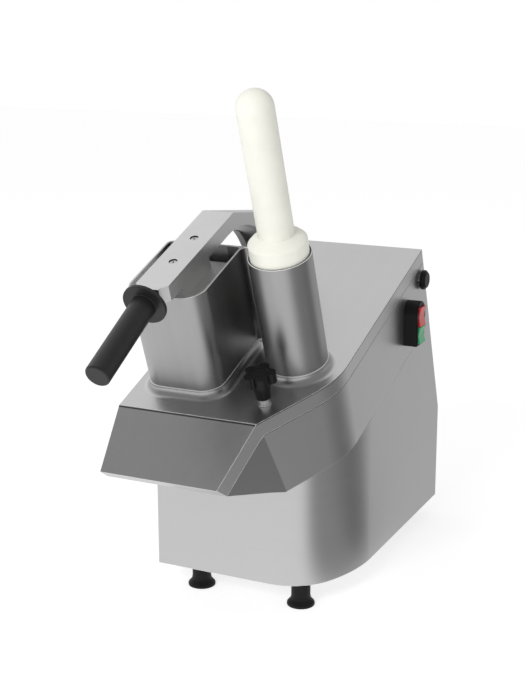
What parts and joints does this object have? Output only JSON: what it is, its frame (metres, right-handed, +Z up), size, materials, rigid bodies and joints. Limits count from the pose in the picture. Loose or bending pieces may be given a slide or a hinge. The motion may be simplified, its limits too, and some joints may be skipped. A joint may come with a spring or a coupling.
{
  "type": "vegetable cutting machine",
  "caption": "Counter-top vegetable cutter in sheet steel: sloping hinged lid with lever-pressed hopper, feed tube with pusher, disc chamber, belt drive, stop and start keys.",
  "frame": {"origin": "middle of the overall box in plan, on the ground plane under the feet", "axes": "+Z up, -Y to the discharge nose and the lever's grip, +X to the side with the stop and start keys"},
  "size_m": [0.2544, 0.616, 0.5961],
  "materials": {
    "steel": "brushed",
    "bright_steel": "polished",
    "cast_aluminium": "cast, tumbled",
    "plated_steel": "zinc plated",
    "black_plastic": "fine grain",
    "ivory_plastic": "satin",
    "white_plastic": "satin",
    "black_rubber": "matt",
    "red_plastic": "gloss",
    "green_plastic": "gloss"
  },
  "bodies": {
    "body": {"base_shell": "steel", "base_plate": "steel", "feet": "black_rubber", "foot_screws": "bright_steel", "upper_housing": "steel", "chamber_bowl": "steel", "chute_plate": "steel", "drive_plate": "plated_steel", "bearing_housing": "cast_aluminium", "bearings": "bright_steel", "shaft_seal": "black_rubber", "drive_belt": "black_rubber", "motor_case": "cast_aluminium", "fan_cowl": "black_plastic", "drive_bolts": "bright_steel", "body_hinge_leaves": "bright_steel", "hinge_pins": "bright_steel", "lock_bracket": "steel", "lid_sensor": "black_plastic", "capacitor": "white_plastic", "capacitor_clamp": "plated_steel", "switch_box": "black_plastic", "reset_bush": "bright_steel", "cord_gland": "black_plastic"},
    "lid": {"lid": "steel", "hopper": "steel", "feed_tube": "steel", "lever_bracket": "steel", "lever_pin": "bright_steel", "bracket_screws": "bright_steel", "lid_hinge_leaves": "bright_steel", "lock_washer": "bright_steel", "lid_magnet": "black_plastic"},
    "lever": {"lever_arm": "cast_aluminium", "press_shoe": "steel", "press_plate": "steel", "lever_screws": "bright_steel", "grip": "black_plastic"},
    "pusher": {"pusher": "ivory_plastic"},
    "lock": {"lock_knob": "black_plastic", "lock_stud": "bright_steel"},
    "spindle": {"spindle": "bright_steel", "cutting_disc": "cast_aluminium", "disc_blades": "bright_steel", "ejector_disc": "white_plastic", "disc_nut": "bright_steel", "driven_pulley": "cast_aluminium"},
    "motor": {"motor_rotor": "bright_steel", "motor_pulley": "cast_aluminium", "motor_fan": "black_plastic"},
    "stop": {"stop_button": "red_plastic"},
    "start": {"start_button": "green_plastic"},
    "reset": {"reset_knob": "black_plastic"}
  },
  "joints": [
    {"name": "lid_hinge", "type": "hinge", "parent": "body", "child": "lid", "pos_m": [-0.1232, 0.06559, 0.30658], "axis": [0, -0.9373, -0.3486], "range_deg": [0, 95]},
    {"name": "lever_pivot", "type": "hinge", "parent": "lid", "child": "lever", "pos_m": [-0.0477, 0.09753, 0.41176], "axis": [-1, 0, 0], "range_deg": [0, 95]},
    {"name": "pusher_slide", "type": "slide", "parent": "lid", "child": "pusher", "axis": [0, -0.3486, 0.9373], "range_m": [0, 0.14]},
    {"name": "lock_turn", "type": "hinge", "parent": "lid", "child": "lock", "pos_m": [0.0444, -0.1151, 0.25853], "axis": [0, -0.3486, 0.9373], "continuous": true},
    {"name": "spindle_spin", "type": "hinge", "parent": "body", "child": "spindle", "pos_m": [-0.0108, -0.04823, 0.26377], "axis": [0, -0.3486, 0.9373], "continuous": true},
    {"name": "motor_spin", "type": "hinge", "parent": "body", "child": "motor", "pos_m": [-0.0108, 0.17561, 0.21728], "axis": [0, -0.3486, 0.9373], "continuous": true},
    {"name": "stop_push", "type": "slide", "parent": "body", "child": "stop", "axis": [-1, 0, 0], "range_m": [0, 0.0024], "stiffness_N_per_m": 300, "springref_m": -0.002},
    {"name": "start_push", "type": "slide", "parent": "body", "child": "start", "axis": [-1, 0, 0], "range_m": [0, 0.0024], "stiffness_N_per_m": 300, "springref_m": -0.002},
    {"name": "reset_push", "type": "slide", "parent": "body", "child": "reset", "axis": [-1, 0, 0], "range_m": [0, 0.0019], "stiffness_N_per_m": 300, "springref_m": -0.002}
  ],
  "couplings": [
    {"joint": "motor_spin", "follows": "spindle_spin", "ratio": 2.6}
  ]
}
